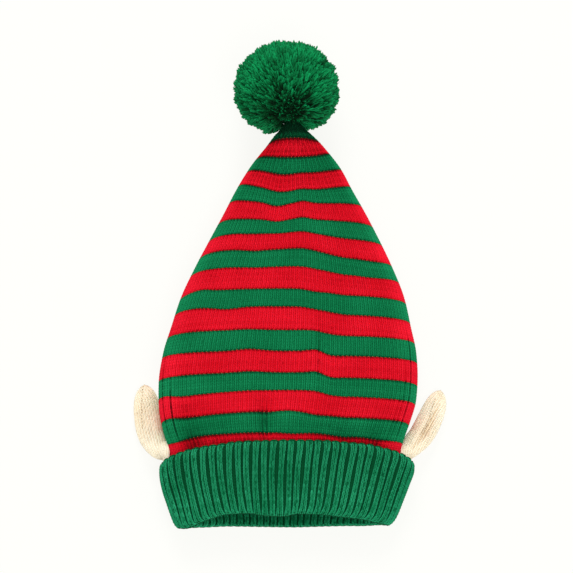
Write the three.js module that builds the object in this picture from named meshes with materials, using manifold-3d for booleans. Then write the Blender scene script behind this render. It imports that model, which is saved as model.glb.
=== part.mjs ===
import * as THREE from 'three';
import { mergeVertices } from 'three/addons/utils/BufferGeometryUtils.js';
import Module from 'manifold-3d';

// A knitted elf hat laid flat on its back, in millimetres.
// +Y runs from the mouth to the pompom, +Z points up, and z = 0 is the surface it lies on.

const MOUTH_Y = -212.1; // the mouth's lower edge, from which the stations called "at" are counted
const CROWN_WALL = 2.6; // thickness of the crown's knit
const SIDE_LEVEL = 0.4; // height of a section's widest point, as a share of its height
const SQUARENESS = 2.5; // exponent of the rounded sections, where 2 is an ellipse
const BELLY = 1.3; // how far the underside would sag below the surface that flattens it
const SECTION_POINTS = 40; // points that a section's curve runs through
const ARC_STEPS = 800; // steps that the curve's length is measured in
const CROWN_COLUMNS = 40;
const RIBS = 60; // ribs round the cuff
const RIB_COLUMNS = 3; // one column in the channel and two on the rib

// Sections of the crown's outer face, from the lower edge to the tip inside the pompom.
// half is half the width, low and high are heights, and shift is the sideways place of the middle.
const CROWN = [
  { at: 47.6, half: 96.4, low: 4.0, high: 45.5, shift: -4.0 },
  { at: 56, half: 96.2, low: 4.0, high: 47.6, shift: -4.0 },
  { at: 64, half: 97.8, low: 2.6, high: 50.0, shift: -4.3 },
  { at: 74, half: 101.0, low: 0, high: 53.0, shift: -4.4 },
  { at: 88, half: 105.3, low: 0, high: 56.0, shift: -3.6 },
  { at: 104, half: 108.6, low: 0, high: 58.0, shift: -2.2 },
  { at: 122, half: 109.4, low: 0, high: 59.0, shift: -1.4 },
  { at: 144, half: 107.6, low: 0, high: 58.5, shift: -0.2 },
  { at: 168, half: 102.2, low: 0, high: 57.0, shift: 1.0 },
  { at: 194, half: 95.8, low: 0, high: 55.5, shift: 2.3 },
  { at: 220, half: 85.6, low: 0, high: 54.0, shift: 3.3 },
  { at: 246, half: 72.6, low: 0, high: 50.0, shift: 4.0 },
  { at: 270, half: 60.0, low: 2.0, high: 46.0, shift: 4.3 },
  { at: 292, half: 48.0, low: 7.0, high: 44.5, shift: 3.8 },
  { at: 312, half: 36.5, low: 15.0, high: 45.5, shift: 4.5 },
  { at: 328, half: 24.2, low: 23.0, high: 48.0, shift: 4.5 },
  { at: 340, half: 15.5, low: 29.5, high: 49.5, shift: 3.0 },
  { at: 347, half: 9.5, low: 33.0, high: 49.0, shift: 2.5 },
  { at: 353, half: 6.0, low: 36.0, high: 47.0, shift: 2.0 },
];

// Soft folds and puckers of the crown's upper side: where the middle lies, how far it
// rises (a dent is negative), and how far it spreads across and along the hat.
const FOLDS = [
  { at: 270, x: -11, rise: -3.5, across: 9, along: 34 },
  { at: 272, x: 10, rise: 3.0, across: 8, along: 32 },
  { at: 138, x: 19, rise: 2.0, across: 8, along: 18 },
  { at: 66, x: -86, rise: -2.5, across: 10, along: 9 },
  { at: 80, x: -28, rise: -1.8, across: 9, along: 14 },
  { at: 66, x: 44, rise: -2.2, across: 9, along: 9 },
  { at: 70, x: 70, rise: -2.0, across: 8, along: 9 },
];

// The cuff's closed profile, ring by ring: up its outer layer's face, round the fold and back.
// lean carries the upper side towards the pompom, and rib is how deep the channels between ribs are.
const LEAN_LEVEL = 17; // height at which the lean moves nothing
const BRIM = [
  // the outer layer's face, from the free edge to the mouth
  { at: 55.2, half: 105.8, low: 1.3, high: 51.6, shift: -2.2, lean: 0.25, rib: 0.7 },
  { at: 52, half: 107.0, low: 0, high: 53.0, shift: -2.4, lean: 0.24, rib: 1.3 },
  { at: 36, half: 103.9, low: 0, high: 50.5, shift: -3.9, lean: 0.2, rib: 1.3 },
  { at: 20, half: 99.3, low: 0, high: 46.6, shift: -4.6, lean: 0.16, rib: 1.3 },
  { at: 8.5, half: 94.0, low: 0, high: 43.2, shift: -4.8, lean: 0.13, rib: 1.3 },
  { at: 3.4, half: 90.2, low: 1.0, high: 41.2, shift: -5.4, lean: 0.12, rib: 1.0 },
  // the fold at the mouth
  { at: 1.8, half: 87.0, low: 3.2, high: 38.4, shift: -5.6, lean: 0.12, rib: 0.6 },
  // the inner layer's face
  { at: 3.8, half: 83.9, low: 5.9, high: 35.6, shift: -5.4, lean: 0.12, rib: -0.9 },
  { at: 22, half: 89.3, low: 6.3, high: 38.6, shift: -4.8, lean: 0.07, rib: -0.9 },
  { at: 47.3, half: 93.6, low: 6.8, high: 42.7, shift: -4.0, lean: 0, rib: 0 },
  // the inner layer's upper edge, against the crown, and its back down to the fold
  { at: 47.3, half: 96.4, low: 4.0, high: 45.5, shift: -4.0, lean: 0, rib: 0 },
  { at: 22, half: 92.2, low: 3.6, high: 41.4, shift: -4.8, lean: 0.07, rib: 0 },
  { at: 8, half: 87.8, low: 3.4, high: 38.2, shift: -5.2, lean: 0.12, rib: 0 },
  // the outer layer's back, up to the free edge
  { at: 10, half: 91.4, low: 2.7, high: 40.6, shift: -4.9, lean: 0.13, rib: 0 },
  { at: 34, half: 100.4, low: 2.7, high: 47.0, shift: -3.8, lean: 0.2, rib: 0 },
  { at: 54, half: 104.2, low: 2.7, high: 50.0, shift: -2.3, lean: 0.25, rib: 0 },
];

// Sections of an ear, counted along it from the tucked-in end: half the width, half the thickness,
// and how much of the upper face sinks into a hollow.
const EAR = [
  { along: 0, half: 4.2, thick: 2.1, hollow: 0 },
  { along: 10, half: 5.2, thick: 2.3, hollow: 0 },
  { along: 20, half: 8.4, thick: 3.2, hollow: 0.2 },
  { along: 31, half: 11.2, thick: 4.2, hollow: 0.45 },
  { along: 43, half: 12.3, thick: 4.7, hollow: 0.6 },
  { along: 55, half: 12.1, thick: 4.6, hollow: 0.5 },
  { along: 66, half: 10.6, thick: 4.0, hollow: 0.3 },
  { along: 74, half: 7.8, thick: 3.0, hollow: 0.1 },
  { along: 78, half: 4.2, thick: 1.8, hollow: 0 },
];
const EAR_COLUMNS = 14;
const EAR_HOLLOW_AT = 0.35; // the hollow's middle across the ear, as a share of the half width
const EAR_HOLLOW_WIDE = 0.5; // how far it spreads, as the same share

// The middle line of each ear, from the tucked-in end to the tip. turned is how far the tucked-in
// end is twisted on edge, in degrees, untwisted is where along the ear the twist has gone, and
// outer is the side of the hat that the ear stands out on.
const EARS = [
  {
    name: 'ear_left', turned: 84, untwisted: 36, outer: -1,
    line: [
      { x: -102.7, at: 46, z: 23.5 },
      { x: -103.4, at: 57, z: 22 },
      { x: -111.0, at: 67.5, z: 15.2 },
      { x: -118.2, at: 81, z: 9.4 },
      { x: -121.9, at: 100, z: 7.2 },
      { x: -125.0, at: 121.5, z: 5.5 },
    ],
  },
  {
    name: 'ear_right', turned: 72, untwisted: 29, outer: 1,
    line: [
      { x: 96.2, at: 46, z: 24 },
      { x: 97.3, at: 56.5, z: 22.5 },
      { x: 104.4, at: 68, z: 16 },
      { x: 111.6, at: 79, z: 11 },
      { x: 120.5, at: 97, z: 7.5 },
      { x: 128.4, at: 116.5, z: 5.5 },
    ],
  },
];

const POMPOM = { at: 381.2, x: -3.6, z: 43.2, radii: [44.8, 43.6, 44.8] };
const CORE_SHARE = 0.86; // size of the core within the pompom
const CORE_DETAIL = 3;
const LOCKS = 44;
const LOCK_SIDES = 6;
// A blunt lock of yarn from its root in the core to its cut end: half its width, and how far out
// it lies as a share of the pompom's radius.
const LOCK = [
  { half: 0, out: 0.68 },
  { half: 16, out: 0.73 },
  { half: 9.3, out: 0.965 },
  { half: 0, out: 1 },
];
const NECK_SECTIONS = 5; // sections of the crown that the pompom may reach
const NECK_GAP = 0.4; // between the tip and the yarn round it

const RED_AND_GREEN_KNIT = new THREE.MeshStandardMaterial({ color: 0xdf1125, roughness: 0.9, metalness: 0 });
const GREEN_RIB_KNIT = new THREE.MeshStandardMaterial({ color: 0x11663f, roughness: 0.9, metalness: 0 });
const BEIGE_KNIT = new THREE.MeshStandardMaterial({ color: 0xf2e0c2, roughness: 0.9, metalness: 0 });
const GREEN_YARN = new THREE.MeshStandardMaterial({ color: 0x0a6e3e, roughness: 0.95, metalness: 0 });

const wasm = await Module();
wasm.setup();

// A rounded power of a sine or cosine, which squares an ellipse off.
function squared(value) {
  return Math.sign(value) * Math.abs(value) ** (2 / SQUARENESS);
}

// How far the folds lift the crown's upper side at a place.
function foldRise(at, x) {
  let rise = 0;
  for (const fold of FOLDS) {
    const away = ((x - fold.x) / fold.across) ** 2 + ((at - fold.at) / fold.along) ** 2;
    rise += fold.rise * Math.exp(-away);
  }
  return rise;
}

// One section as evenly spaced points, starting under the hat and going round by its +X side.
// It is a rounded flat shape that the surface below presses flat. inset moves it inwards.
function ring(section, count, inset = 0) {
  const half = section.half - inset;
  const low = section.low + inset;
  const high = section.high - inset;
  const middle = low + SIDE_LEVEL * (high - low);
  const points = [];
  for (let k = 0; k < SECTION_POINTS; k += 1) {
    const angle = (k / SECTION_POINTS - 0.25) * 2 * Math.PI;
    const up = Math.sin(angle);
    const reach = up > 0 ? high - middle : BELLY * (middle - low);
    const x = section.shift + half * squared(Math.cos(angle));
    points.push(new THREE.Vector3(x, 0, Math.max(low, middle + reach * squared(up))));
  }
  const curve = new THREE.CatmullRomCurve3(points, true);
  curve.arcLengthDivisions = ARC_STEPS;
  const spaced = curve.getSpacedPoints(count).slice(0, count);
  for (const point of spaced) {
    point.z = Math.max(low, point.z);
    point.y = MOUTH_Y + section.at + (section.lean ?? 0) * (point.z - LEAN_LEVEL);
  }
  return spaced;
}

// A closed solid through rings of equally many points. It is capped at both ends by fans, or,
// where it runs round on itself, its last ring joins its first.
function loft(rings, runsRound = false) {
  const columns = rings[0].length;
  const places = rings.flat();
  const faces = [];
  const spans = runsRound ? rings.length : rings.length - 1;
  for (let r = 0; r < spans; r += 1) {
    for (let k = 0; k < columns; k += 1) {
      const a = r * columns + k;
      const b = r * columns + ((k + 1) % columns);
      const c = ((r + 1) % rings.length) * columns + k;
      const d = ((r + 1) % rings.length) * columns + ((k + 1) % columns);
      faces.push(a, b, c, b, d, c);
    }
  }
  if (!runsRound) {
    const first = places.push(centreOf(rings[0])) - 1;
    const last = places.push(centreOf(rings.at(-1))) - 1;
    const lastRow = (rings.length - 1) * columns;
    for (let k = 0; k < columns; k += 1) {
      const next = (k + 1) % columns;
      faces.push(first, next, k, last, lastRow + k, lastRow + next);
    }
  }
  const geometry = new THREE.BufferGeometry().setFromPoints(places);
  geometry.setIndex(faces);
  return geometry;
}

function centreOf(points) {
  const centre = new THREE.Vector3();
  for (const point of points) centre.addScaledVector(point, 1 / points.length);
  return centre;
}

// The crown: an outer and an inner face joined at the lower edge, both closed at the tip.
function crownRing(section, inset) {
  const points = ring(section, CROWN_COLUMNS, inset);
  const middle = section.low + SIDE_LEVEL * (section.high - section.low);
  for (const point of points) {
    const upper = THREE.MathUtils.smoothstep(point.z, middle, section.high);
    point.z += upper * foldRise(section.at, point.x);
  }
  return points;
}

function crown() {
  const outer = CROWN.map((section) => crownRing(section, 0));
  const inner = CROWN.map((section) => crownRing(section, CROWN_WALL));
  for (const point of inner.at(-1)) point.y -= CROWN_WALL;
  return loft([...outer.reverse(), ...inner]);
}

// The cuff: every third column of a face lies in a channel between two ribs.
function brim() {
  const columns = RIBS * RIB_COLUMNS;
  const rings = BRIM.map((section) => {
    const face = ring(section, columns);
    const channel = ring(section, columns, section.rib);
    return face.map((point, k) => (k % RIB_COLUMNS === 0 ? channel[k] : point));
  });
  return loft(rings, true);
}

// One ear: oval sections along its middle line, on edge where it is tucked in and flat above.
function ear({ turned, untwisted, outer, line }) {
  const places = line.map(({ x, at, z }) => new THREE.Vector3(x, MOUTH_Y + at, z));
  const curve = new THREE.CatmullRomCurve3(places);
  const length = EAR.at(-1).along;
  const rings = EAR.map(({ along, half, thick, hollow }) => {
    const middle = curve.getPointAt(along / length);
    const forward = curve.getTangentAt(along / length);
    const across = new THREE.Vector3(forward.y, -forward.x, 0).normalize();
    const twist = turned * (1 - THREE.MathUtils.smoothstep(along, 0, untwisted));
    across.applyAxisAngle(forward, outer * THREE.MathUtils.degToRad(twist));
    const up = new THREE.Vector3().crossVectors(across, forward).normalize();
    const points = [];
    for (let k = 0; k < EAR_COLUMNS; k += 1) {
      const angle = (k / EAR_COLUMNS) * 2 * Math.PI;
      const side = Math.cos(angle);
      const away = (side * outer - EAR_HOLLOW_AT) / EAR_HOLLOW_WIDE;
      const sunk = Math.sin(angle) > 0 ? hollow * Math.exp(-away * away) : 0;
      const rise = thick * Math.sin(angle) * (1 - sunk);
      points.push(middle.clone().addScaledVector(across, half * side).addScaledVector(up, rise));
    }
    return points;
  });
  return loft(rings.reverse());
}

// A geometry as a solid that can be joined and cut.
function solid(geometry) {
  const plain = geometry.clone();
  plain.deleteAttribute('normal');
  plain.deleteAttribute('uv');
  const merged = mergeVertices(plain);
  const triVerts = Uint32Array.from(merged.index.array);
  const vertProperties = Float32Array.from(merged.attributes.position.array);
  return new wasm.Manifold(new wasm.Mesh({ numProp: 3, vertProperties, triVerts }));
}

function geometryOf(body) {
  const mesh = body.getMesh();
  const geometry = new THREE.BufferGeometry();
  geometry.setAttribute('position', new THREE.BufferAttribute(mesh.vertProperties, mesh.numProp));
  geometry.setIndex(new THREE.BufferAttribute(mesh.triVerts, 1));
  return geometry;
}

// The pompom: blunt locks of yarn standing all round a core, flattened where it lies and
// open where the crown's tip goes in.
function pompom() {
  const centre = new THREE.Vector3(POMPOM.x, MOUTH_Y + POMPOM.at, POMPOM.z);
  const radii = new THREE.Vector3(...POMPOM.radii);
  const core = new THREE.IcosahedronGeometry(1, CORE_DETAIL);
  core.scale(...radii.clone().multiplyScalar(CORE_SHARE).toArray());
  core.translate(...centre.toArray());
  let body = solid(core);
  const golden = Math.PI * (3 - Math.sqrt(5));
  for (let k = 0; k < LOCKS; k += 1) {
    const height = 1 - (2 * k + 1) / LOCKS;
    const flat = Math.sqrt(1 - height * height);
    const way = new THREE.Vector3(flat * Math.cos(golden * k), height, flat * Math.sin(golden * k));
    const reach = 1 / way.clone().divide(radii).length();
    const points = LOCK.map(({ half, out }) => new THREE.Vector2(half, out * reach));
    const lock = new THREE.LatheGeometry(points, LOCK_SIDES);
    const turn = new THREE.Quaternion().setFromUnitVectors(new THREE.Vector3(0, 1, 0), way);
    lock.applyQuaternion(turn);
    lock.translate(...centre.toArray());
    body = body.add(solid(lock));
  }
  const size = 4 * radii.x;
  const below = new THREE.BoxGeometry(size, size, size);
  below.translate(centre.x, centre.y, -size / 2);
  const neck = CROWN.slice(-NECK_SECTIONS).map((section) => {
    const moved = { ...section, at: section.at + NECK_GAP };
    return ring(moved, CROWN_COLUMNS, -NECK_GAP);
  });
  return geometryOf(body.subtract(solid(below)).subtract(solid(loft(neck.reverse()))));
}

function piece(name, geometry, material) {
  const mesh = new THREE.Mesh(geometry, material);
  mesh.name = name;
  geometry.computeVertexNormals();
  return mesh;
}

const hat = new THREE.Group();
hat.add(piece('crown', crown(), RED_AND_GREEN_KNIT));
hat.add(piece('brim', brim(), GREEN_RIB_KNIT));
for (const row of EARS) hat.add(piece(row.name, ear(row), BEIGE_KNIT));
hat.add(piece('pompom', pompom(), GREEN_YARN));

export default hat;
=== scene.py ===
import math

import bmesh
import bpy
import numpy as np
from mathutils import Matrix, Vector


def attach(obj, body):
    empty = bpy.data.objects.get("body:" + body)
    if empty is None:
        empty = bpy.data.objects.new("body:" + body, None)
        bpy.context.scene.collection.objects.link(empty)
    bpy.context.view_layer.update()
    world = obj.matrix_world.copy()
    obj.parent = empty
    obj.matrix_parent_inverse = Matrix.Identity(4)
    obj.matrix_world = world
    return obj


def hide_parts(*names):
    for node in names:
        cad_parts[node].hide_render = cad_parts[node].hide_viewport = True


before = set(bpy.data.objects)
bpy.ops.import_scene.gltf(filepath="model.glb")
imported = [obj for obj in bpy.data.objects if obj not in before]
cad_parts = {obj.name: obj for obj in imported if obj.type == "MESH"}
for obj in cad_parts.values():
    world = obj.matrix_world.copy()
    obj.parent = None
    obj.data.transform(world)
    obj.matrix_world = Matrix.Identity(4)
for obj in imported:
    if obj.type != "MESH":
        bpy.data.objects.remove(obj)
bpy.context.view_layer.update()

# A knitted elf hat lying on its back. The tables are in millimetres and the meshes in metres.
# "at" is a station along the hat, counted from the mouth's lower edge towards the pompom, and
# "round" is the share of the way round it, from the middle of its underside and by its +X side.

MM = 0.001
rng = np.random.default_rng(20)

MOUTH_Y = -212.1  # the mouth's lower edge
SIDE_LEVEL = 0.4  # height of a section's widest point, as a share of its height
SQUARENESS = 2.5  # exponent of the rounded sections, where 2 is an ellipse
BELLY = 1.3  # how deep the underside would sag, beside the depth where the surface stops it
OUTLINE_STEPS = 1440  # points that a section's outline is first drawn with
RING_STEPS = 180  # steps that the length round a wall is measured in


def table(names, *rows):
    """A table's rows as dictionaries, with the names of its columns given once."""
    return [dict(zip(names.split(), row)) for row in rows]


# The crown's outer face, section by section: half is half the width, low and high are heights,
# and shift is the sideways place of the middle.
CROWN = table(
    "at half low high shift",
    (47.6, 96.4, 4.0, 45.5, -4.0),
    (56, 96.2, 4.0, 46.6, -4.0),
    (64, 97.8, 2.6, 48.0, -4.3),
    (74, 101.0, 0, 51.8, -4.4),
    (88, 105.3, 0, 56.0, -3.6),
    (104, 108.6, 0, 58.0, -2.2),
    (122, 109.4, 0, 59.0, -1.4),
    (144, 107.6, 0, 58.5, -0.2),
    (168, 102.2, 0, 57.0, 1.0),
    (194, 95.8, 0, 55.5, 2.3),
    (220, 85.6, 0, 54.0, 3.3),
    (246, 73.9, 0, 50.0, 4.0),
    (270, 62.3, 2.0, 46.0, 4.3),
    (292, 50.8, 7.0, 44.5, 3.8),
    (312, 39.0, 15.0, 45.5, 4.5),
    (328, 25.5, 23.0, 48.0, 4.5),
    (340, 14.4, 29.5, 49.5, 3.0),
    (344.5, 9.0, 31.8, 49.3, 2.7),
    (347, 8.2, 33.0, 49.0, 2.5),
    (353, 6.0, 36.0, 47.0, 2.0),
)

# Wales at the crown's sides that sink between their neighbours, whose legs are painted darker as
# painted shade of the groove: by their place round, how dark, and the station where they have come
# up level.
SHADED_SUNK_WALES = table(
    "round dark level",
    (0.7068, 4.0, 130),
    (0.7240, 4.2, 152),
    (0.3008, 2.4, 124),
    (0.2932, 2.8, 150),
    (0.2826, 3.6, 180),
)
RISING = 30.0  # how long their painted shade takes to fade as they come up
SINKING = (64, 84)  # the stations above the cuff between which they sink from level and their painted shade comes in

# Soft folds and puckers of the crown's upper side, where a dent's rise is negative.
FOLDS = table(
    "at x rise across along",
    (270, -11, -4.5, 9, 34),
    (272, 10, 3.8, 8, 32),
    (138, 19, 2.6, 8, 20),
    (64, -84, -3.5, 9, 9),
    (80, -19, -3.2, 6, 15),
    (82, -1, 3.4, 9, 15),
    (66, 44, -3.4, 9, 9),
    (70, 70, -3.2, 8, 9),
)

# Where the crown's yarn is painted darker, as painted shade between its puckers and under the cuff's
# edge, or lighter, as painted light.
SHADES = table(
    "at x dark across along",
    (63, -84, 2.6, 9, 9),
    (63, -60, 1.9, 20, 7),
    (63, -32, 1.8, 14, 6),
    (80, -21, 2.2, 5, 14),
    (92, -88, 1.4, 10, 9),
    (75, -82, 1.1, 12, 8),
    (97, -48, -0.8, 18, 8),
    (86, 0, -1.1, 14, 12),
    (78, 36, 0.6, 20, 7),
    (63, 26, 1.8, 16, 7),
    (63, 54, 2.6, 16, 8),
    (65, 71, 2.6, 8, 9),
    (135, 24, 0.9, 2.2, 35),
    (135, 20, -0.6, 2.0, 35),
)

# Where the knit's courses drift from their even run on the upper side.
DRIFTS = table(
    "at x climb across along",
    (180, -54, -2.4, 14, 8),
    (232, -29, -2.0, 14, 20),
    (268, -13, -1.6, 9, 12),
    (268, 13, 1.3, 7, 14),
    (294, -4, -1.5, 10, 10),
    (136, -34, 1.9, 14, 22),
    (130, 22, 1.9, 7, 20),
    (126, 35, -1.4, 8, 24),
    (192, 20, -1.5, 10, 20),
    (222, 68, -1.7, 12, 14),
    (86, 21, -1.8, 12, 9),
    (70, 84, -1.6, 18, 6),
    (195, -76, 1.8, 10, 9),
    (71, 2, -1.6, 12, 7),
    (105, -108, 4.2, 12, 8),
    (87, -104, 3.2, 12, 7),
    (71, -98, -2.0, 10, 7),
)

GREEN_COURSES = 7  # courses in a stripe
RED_COURSES = 8
HIDDEN_COURSES = 10  # red courses below the first change of yarn, mostly under the cuff

# Where each change of yarn lies along the middle of the front, and how far its course climbs at
# the left side and the right side, or steps across right of the middle.
CHANGES = table(
    "at left right step",
    (71.0, -4.0, 0.0, -3.0),
    (87.5, -6.0, 0.0, -4.5),
    (105.0, -5.0, 0.0, -5.0),
    (120.0, 0.0, 0.0, -4.0),
    (138.5, 1.5, 1.0, -4.0),
    (157.0, 1.5, 1.0, -5.0),
    (178.0, 2.0, 0.0, -7.0),
    (194.0, 0.5, 0.0, -5.5),
    (214.0, 1.0, 0.0, -7.0),
    (230.5, 1.0, 0.0, -8.0),
    (246.0, 1.0, 0.0, -5.0),
    (258.5, 5.0, 1.0, -1.0),
    (273.5, 9.0, 4.0, 0.0),
    (286.0, 12.0, 9.0, 0.0),
    (301.5, 8.0, 8.0, 0.0),
    (316.0, 4.0, 7.0, 0.0),
    (333.0, -1.0, -1.0, 0.0),
)
STEP_FROM = 8.0  # x where the step across begins
STEP_WIDE = 42.0
SIDE_DROP = 2.6  # how far a course of the slope drops where it turns round the left side
SIDE_POWER = 12  # how suddenly it drops there
SLOPE = (130, 190)  # the stations where the crown turns into the slope

# The cuff's closed profile, ring by ring from the free edge: down its outer layer's face, round
# the fold, up the inner layer's face, and back between the layers. lean carries the upper side
# towards the pompom, and rib is how fully the ribs stand out.
LEAN_LEVEL = 17  # height at which the lean moves nothing
BRIM = table(
    "at half low high shift lean rib",
    (55.2, 105.8, 1.3, 51.6, -2.2, 0.25, 0.3),
    (52, 107.0, 0, 53.0, -2.4, 0.24, 0.75),
    (36, 103.9, 0, 50.5, -3.9, 0.2, 1.0),
    (20, 99.3, 0, 46.6, -4.6, 0.16, 0.85),
    (8.5, 94.0, 0, 43.2, -4.8, 0.13, 0.65),
    (3.4, 90.2, 1.0, 41.2, -5.4, 0.12, 0.25),
    (1.8, 87.0, 3.2, 38.4, -5.6, 0.12, 0.1),
    (3.8, 83.9, 5.9, 35.6, -5.4, 0.12, 0.8),
    (22, 89.3, 6.3, 38.6, -4.8, 0.07, 0.8),
    (47.3, 93.6, 6.8, 42.7, -4.0, 0, 0.5),
    (47.3, 96.4, 4.0, 45.5, -4.0, 0, 0),
    (22, 92.2, 3.6, 41.4, -4.8, 0.07, 0),
    (8, 87.8, 3.4, 38.2, -5.2, 0.12, 0),
    (10, 91.4, 2.7, 40.6, -4.9, 0.13, 0),
    (34, 100.4, 2.7, 47.0, -3.8, 0.2, 0),
    (54, 104.2, 2.7, 50.0, -2.3, 0.25, 0),
)
FOLD = 6  # the profile's ring at the fold
INNER_EDGE = 9  # the profile's ring where the inner layer's face ends

# How far the cuff's free edge droops towards the mouth, and how far the fold does, which is apart
# for the front of the mouth and for its back.
EDGE_DROOP = table(
    "x droop",
    (-108, 7.6),
    (-90, 4.5),
    (-75, 2.6),
    (-58, 1.4),
    (-45, 0.0),
    (-20, -0.5),
    (0, -0.9),
    (30, -0.7),
    (50, 0.3),
    (65, 0.6),
    (76, 2.2),
    (86, 3.2),
    (104, 6.5),
)
FRONT_DROOP = table(
    "x droop",
    (-96, 5.0),
    (-86, 9.4),
    (-69, 4.4),
    (-51, 0.1),
    (-34, -0.3),
    (-20, 1.9),
    (-5, 2.5),
    (6, 0.3),
    (28, 0.9),
    (43, 2.3),
    (56, 3.2),
    (77, 5.4),
    (88, 3.0),
)
BACK_DROOP = table(
    "x droop",
    (-96, 5.0),
    (-84, 2.5),
    (-75, 1.2),
    (-49, 0.0),
    (-23, 0.4),
    (3, 0.7),
    (29, 0.0),
    (51, -0.4),
    (72, 0.0),
    (88, 3.0),
)
RIBS = 64

# Sections of an ear, counted along it from the tucked-in end: half the width, half the
# thickness, and how much of the upper face sinks into a hollow.
EAR = table(
    "along half thick hollow",
    (0, 4.2, 2.1, 0),
    (10, 6.6, 2.3, 0),
    (20, 9.8, 3.2, 0.2),
    (31, 11.9, 4.2, 0.55),
    (43, 12.5, 4.7, 0.85),
    (55, 12.1, 4.6, 0.6),
    (66, 10.6, 4.0, 0.3),
    (74, 7.4, 3.0, 0.1),
    (78, 4.0, 2.0, 0),
    (79.4, 0.6, 0.6, 0),
)
EAR_LENGTH = 78  # of an ear's middle line

# turned is how far an ear's tucked-in end is twisted on edge, in degrees, and untwisted is where
# the twist has gone. outer is the side of the hat that the ear stands out on.
EARS = [
    {
        "name": "ear_left", "turned": 84, "untwisted": 27, "outer": -1, "slim": 1.0,
        # An ear's hollow is sunk into its upper face and painted darker, as painted shade; the left
        # ear's lies along the side towards the crown, as painted shade of the crown.
        "hollow_at": -0.85, "hollow_wide": 0.35, "hollow_deep": 0.5,
        "seam": {"from": 42, "to": 77, "start": 0.62, "end": 0.3, "stitches": 15},
        "line": [
            {"x": -102.7, "at": 46, "z": 23.5},
            {"x": -104.2, "at": 57, "z": 22},
            {"x": -111.8, "at": 67.5, "z": 15.2},
            {"x": -118.2, "at": 81, "z": 9.4},
            {"x": -121.9, "at": 100, "z": 7.2},
            {"x": -125.0, "at": 121.5, "z": 5.5},
        ],
    },
    {
        "name": "ear_right", "turned": 72, "untwisted": 22, "outer": 1, "slim": 0.9,
        "hollow_at": 0.18, "hollow_wide": 0.26, "hollow_deep": 1.0,
        "seam": {"from": 34, "to": 69, "start": -0.22, "end": -0.3, "stitches": 16},
        "line": [
            {"x": 96.2, "at": 46, "z": 24},
            {"x": 97.3, "at": 56.5, "z": 22.5},
            {"x": 104.4, "at": 68, "z": 16},
            {"x": 112.4, "at": 79, "z": 11},
            {"x": 121.6, "at": 97, "z": 7.5},
            {"x": 129.0, "at": 116.5, "z": 5.5},
        ],
    },
]

POMPOM = {"at": 381.0, "x": -2.9, "z": 43.2, "radii": (45.6, 41.6, 44.8)}


# Curves and outlines

def column(rows, name):
    return np.array([row[name] for row in rows], float)


def eased(knots, values, x):
    """A smooth curve through the values at the knots, which never swings past them."""
    knots, values = np.asarray(knots, float), np.asarray(values, float)
    gap = np.diff(knots)
    slope = np.diff(values) / gap
    before, after = slope[:-1], slope[1:]
    same = before * after > 0
    near, far = 2 * gap[1:] + gap[:-1], gap[1:] + 2 * gap[:-1]
    mixed = near / np.where(same, before, 1) + far / np.where(same, after, 1)
    tangent = np.concatenate((slope[:1], np.where(same, (near + far) / mixed, 0), slope[-1:]))
    k = np.clip(np.searchsorted(knots, x, side="right") - 1, 0, len(knots) - 2)
    t = np.clip((x - knots[k]) / gap[k], 0, 1)
    return (
        (1 + 2 * t) * (1 - t) ** 2 * values[k] + t * (1 - t) ** 2 * gap[k] * tangent[k]
        + t * t * (3 - 2 * t) * values[k + 1] + t * t * (t - 1) * gap[k] * tangent[k + 1]
    )


def smooth(x, start, end):
    t = np.clip((x - start) / (end - start), 0, 1)
    return t * t * (3 - 2 * t)


def squared(value):
    return np.sign(value) * np.abs(value) ** (2 / SQUARENESS)


def unit(vectors):
    return vectors / np.maximum(np.linalg.norm(vectors, axis=-1, keepdims=True), 1e-9)


def spaced_evenly(points, shares):
    """A closed run of points, looked up at shares of its length."""
    closed = np.vstack((points, points[:1]))
    length = np.concatenate(([0], np.cumsum(np.linalg.norm(np.diff(closed, axis=0), axis=1))))
    return np.stack([np.interp(shares * length[-1], length, axis) for axis in closed.T], axis=-1)


def section_outline(half, low, high, shift, shares):
    """A rounded flat section of the hat that the surface below presses flat, as (x, z)."""
    angle = (np.arange(OUTLINE_STEPS) / OUTLINE_STEPS - 0.25) * 2 * np.pi
    up = np.sin(angle)
    middle = low + SIDE_LEVEL * (high - low)
    reach = np.where(up > 0, high - middle, BELLY * (middle - low))
    x = shift + half * squared(np.cos(angle))
    z = np.maximum(low, middle + reach * squared(up))
    return spaced_evenly(np.stack((x, z), axis=-1), shares)


class Wall:
    """A knitted wall as a table of places, looked up by share round it and distance along it."""

    def __init__(self, alongs, places, closed=False):
        self.alongs, self.closed = alongs, closed
        self.places = places
        round_way = np.roll(places, -1, 1) - np.roll(places, 1, 1)
        if closed:
            along_way = np.roll(places, -1, 0) - np.roll(places, 1, 0)
        else:
            along_way = np.gradient(places, axis=0)
        self.outs = unit(np.cross(along_way, round_way))

    def look_up(self, values, rounds, alongs):
        rows, columns = values.shape[:2]
        step = self.alongs[1] - self.alongs[0]
        row = (alongs - self.alongs[0]) / step
        if self.closed:
            low_row = np.floor(row).astype(int)
            part = row - low_row
            low_row, high_row = low_row % rows, (low_row + 1) % rows
        else:
            row = np.clip(row, 0, rows - 1.001)  # a row always follows
            low_row = row.astype(int)
            part, high_row = row - low_row, low_row + 1
        place = (rounds % 1.0) * columns
        left = np.floor(place).astype(int)
        share = (place - left)[..., None]
        left, right = left % columns, (left + 1) % columns
        part = part[..., None]
        lower = values[low_row, left] * (1 - share) + values[low_row, right] * share
        upper = values[high_row, left] * (1 - share) + values[high_row, right] * share
        return lower * (1 - part) + upper * part

    def place(self, rounds, alongs):
        return self.look_up(self.places, rounds, alongs)

    def out(self, rounds, alongs):
        return unit(self.look_up(self.outs, rounds, alongs))

    def length_round(self, along):
        shares = np.arange(RING_STEPS) / RING_STEPS
        ring = self.place(shares, np.full(RING_STEPS, float(along)))
        return np.linalg.norm(np.roll(ring, -1, 0) - ring, axis=1).sum()


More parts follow.
